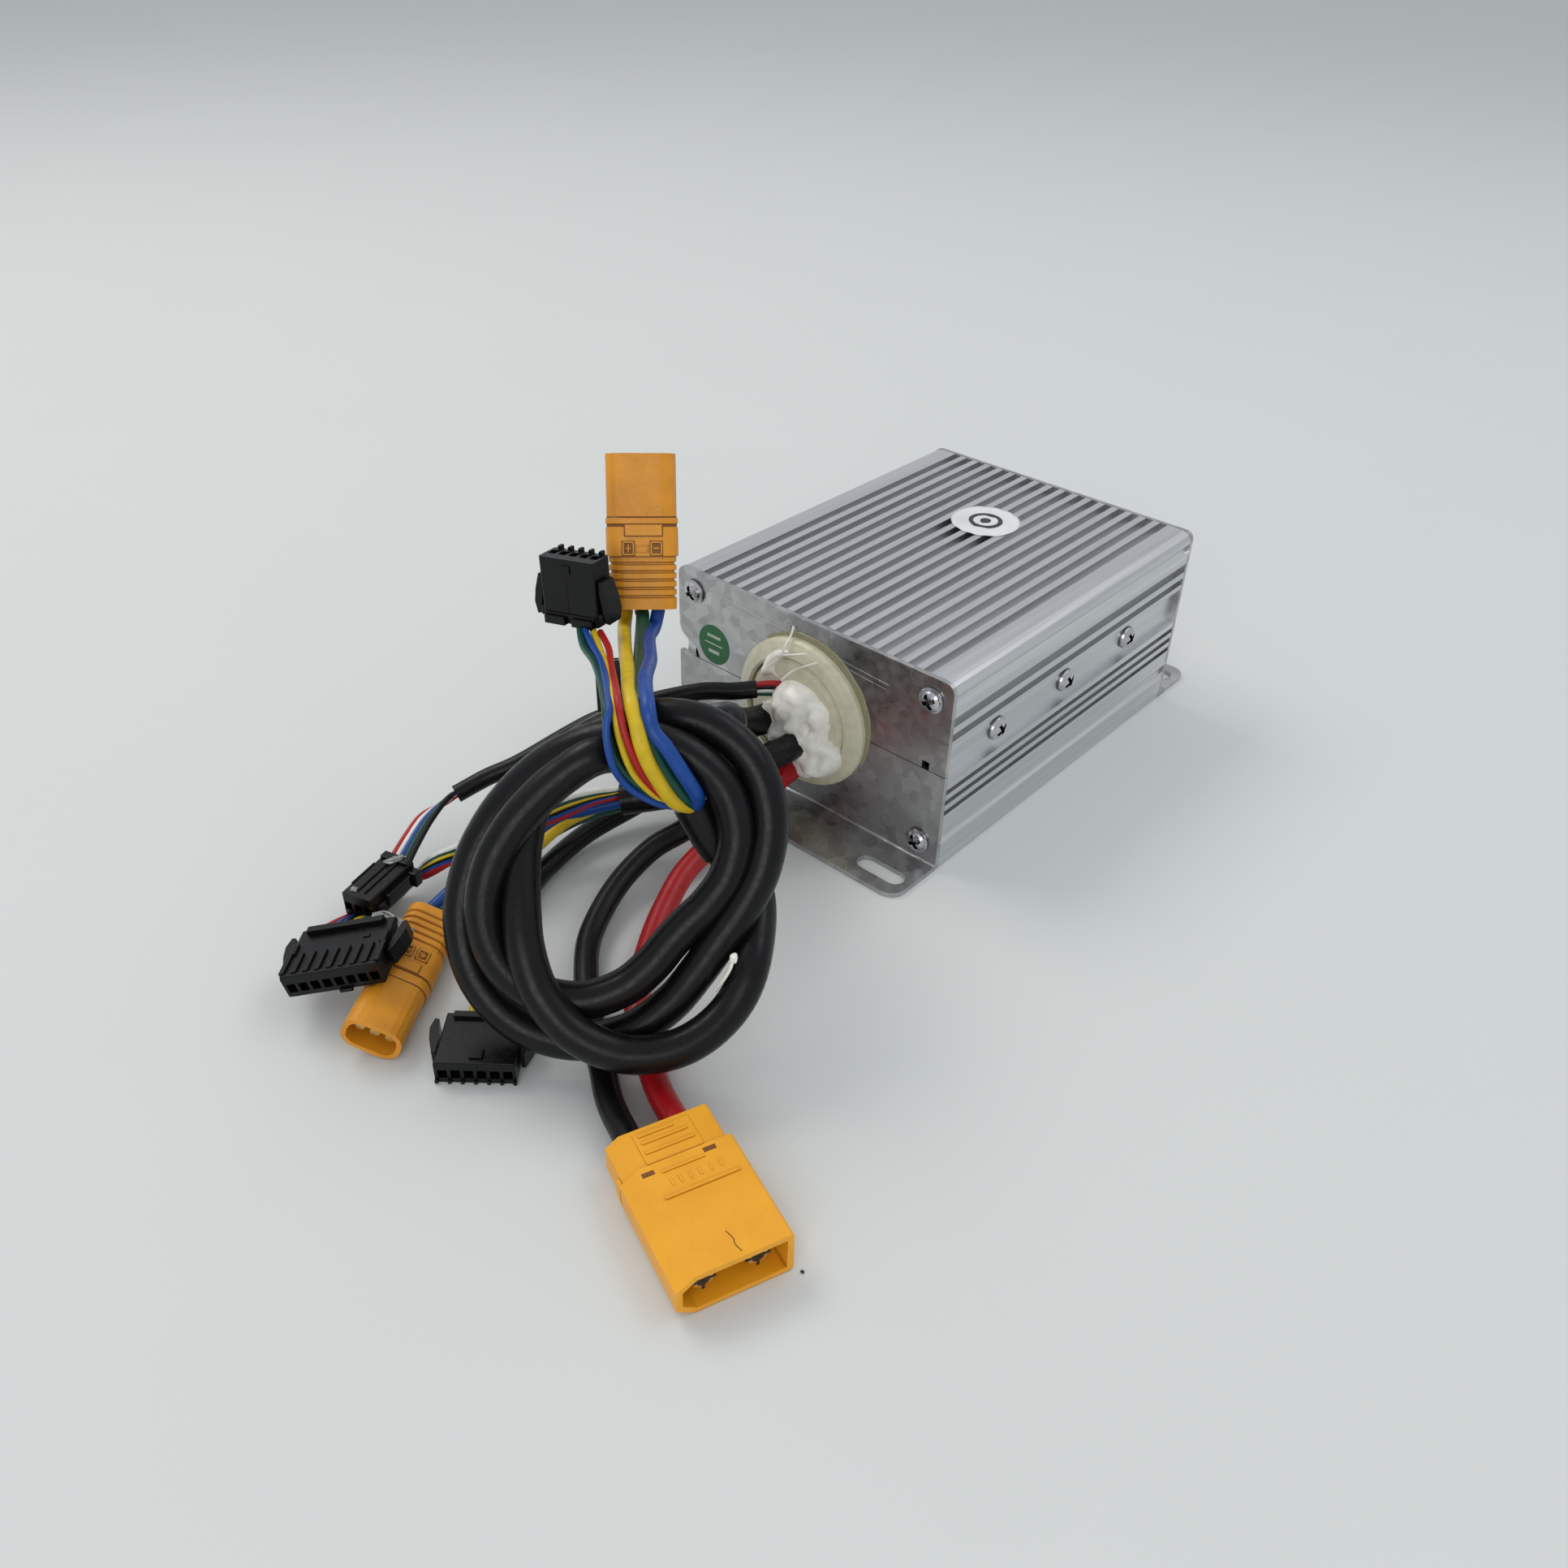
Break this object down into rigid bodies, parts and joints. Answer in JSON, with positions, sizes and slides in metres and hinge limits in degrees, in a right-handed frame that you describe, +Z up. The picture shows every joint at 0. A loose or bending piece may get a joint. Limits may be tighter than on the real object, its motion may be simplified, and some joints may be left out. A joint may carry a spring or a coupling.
{
  "type": "electronic speed controller",
  "caption": "Scooter speed controller in a finned aluminium case with end-plate feet, a cable grommet, a coiled motor cable and several plugs.",
  "frame": {"origin": "centre of the case footprint at floor level, without its leads", "axes": "+Y along the case away from the cable outlet, +Z up, +X to the side with the three side screws"},
  "size_m": [0.1354, 0.2483, 0.0913],
  "materials": {
    "aluminium": "satin anodised, ribbed extrusion",
    "galvanised_steel": "galvanised, with a faint spangle",
    "zinc_screw": "bright zinc plate",
    "ivory_nylon": "semi-matte",
    "white_silicone": "glossy, hand-applied bead",
    "circuit_board": "solder mask",
    "epoxy": "moulded",
    "plug_yellow": "moulded, fine grain",
    "gold_pin": "gold plated",
    "plug_amber": "moulded, fine grain",
    "black_nylon": "moulded",
    "black_rubber": "smooth cable jacket",
    "red_silicone": "smooth insulation",
    "amber_silicone": "smooth insulation"
  },
  "bodies": {
    "controller": {"case_extrusion": "aluminium", "heat_bar": "aluminium", "front_plate_upper": "galvanised_steel", "front_plate_lower": "galvanised_steel", "rear_plate": "galvanised_steel", "front_screw_1": "zinc_screw", "front_screw_2": "zinc_screw", "front_screw_3": "zinc_screw", "front_screw_4": "zinc_screw", "rear_screw_1": "zinc_screw", "rear_screw_2": "zinc_screw", "rear_screw_3": "zinc_screw", "rear_screw_4": "zinc_screw", "side_screw_1": "zinc_screw", "side_screw_2": "zinc_screw", "side_screw_3": "zinc_screw", "cable_grommet": "ivory_nylon", "grommet_sealant": "white_silicone", "circuit_board": "circuit_board", "mosfet_1": "epoxy", "mosfet_2": "epoxy", "mosfet_3": "epoxy", "mosfet_4": "epoxy", "mosfet_5": "epoxy", "mosfet_6": "epoxy", "bulk_capacitor": "epoxy", "battery_plug_shell": "plug_yellow", "battery_plug_cover": "plug_yellow", "battery_pin_1": "gold_pin", "battery_pin_2": "gold_pin", "motor_plug_b_pin_1": "gold_pin", "motor_plug_b_pin_2": "gold_pin", "motor_plug_b_pin_3": "gold_pin", "motor_plug_a_shell": "plug_amber", "motor_plug_a_cover": "plug_amber", "motor_plug_b_shell": "plug_amber", "motor_plug_b_cover": "plug_amber", "hall_plug_housing": "black_nylon", "signal_plug_c_housing": "black_nylon", "signal_plug_e_housing": "black_nylon", "display_plug_housing": "black_nylon", "throttle_plug_housing": "black_nylon", "motor_cable_coil": "black_rubber", "motor_cable_lead_in": "black_rubber", "motor_cable_lead_out": "black_rubber", "second_motor_cable": "black_rubber", "display_cable": "black_rubber", "battery_wire_black": "black_rubber", "signal_wires_e": "black_rubber", "battery_wire_red": "red_silicone", "hall_wires_a": "red_silicone", "signal_wires_c": "red_silicone", "phase_wires_a": "amber_silicone", "phase_wires_b": "amber_silicone"},
    "hall_plug_lever_left": {"hall_plug_lever_left": "black_nylon"},
    "hall_plug_lever_right": {"hall_plug_lever_right": "black_nylon"},
    "signal_plug_c_lever_left": {"signal_plug_c_lever_left": "black_nylon"},
    "signal_plug_c_lever_right": {"signal_plug_c_lever_right": "black_nylon"},
    "signal_plug_e_lever_left": {"signal_plug_e_lever_left": "black_nylon"},
    "signal_plug_e_lever_right": {"signal_plug_e_lever_right": "black_nylon"}
  },
  "joints": [
    {"name": "hall_plug_lever_left_squeeze", "type": "hinge", "parent": "controller", "child": "hall_plug_lever_left", "pos_m": [-0.01329, -0.10038, 0.07021], "axis": [-0.249, 0.9643, -0.0902], "range_deg": [0, 6], "stiffness_Nm_per_rad": 0.004},
    {"name": "hall_plug_lever_right_squeeze", "type": "hinge", "parent": "controller", "child": "hall_plug_lever_right", "pos_m": [-0.02771, -0.10425, 0.06872], "axis": [0.249, -0.9643, 0.0902], "range_deg": [0, 6], "stiffness_Nm_per_rad": 0.004},
    {"name": "signal_plug_c_lever_left_squeeze", "type": "hinge", "parent": "controller", "child": "signal_plug_c_lever_left", "pos_m": [-0.02988, -0.17475, 0.00846], "axis": [0.204, 0.1418, -0.9686], "range_deg": [0, 6], "stiffness_Nm_per_rad": 0.004},
    {"name": "signal_plug_c_lever_right_squeeze", "type": "hinge", "parent": "controller", "child": "signal_plug_c_lever_right", "pos_m": [-0.01319, -0.16073, 0.01403], "axis": [-0.204, -0.1418, 0.9686], "range_deg": [0, 6], "stiffness_Nm_per_rad": 0.004},
    {"name": "signal_plug_e_lever_left_squeeze", "type": "hinge", "parent": "controller", "child": "signal_plug_e_lever_left", "pos_m": [0.00479, -0.1662, 0.00275], "axis": [0, 0, -1], "range_deg": [0, 6], "stiffness_Nm_per_rad": 0.004},
    {"name": "signal_plug_e_lever_right_squeeze", "type": "hinge", "parent": "controller", "child": "signal_plug_e_lever_right", "pos_m": [0.01804, -0.15477, 0.00275], "axis": [0, 0, 1], "range_deg": [0, 6], "stiffness_Nm_per_rad": 0.004}
  ]
}
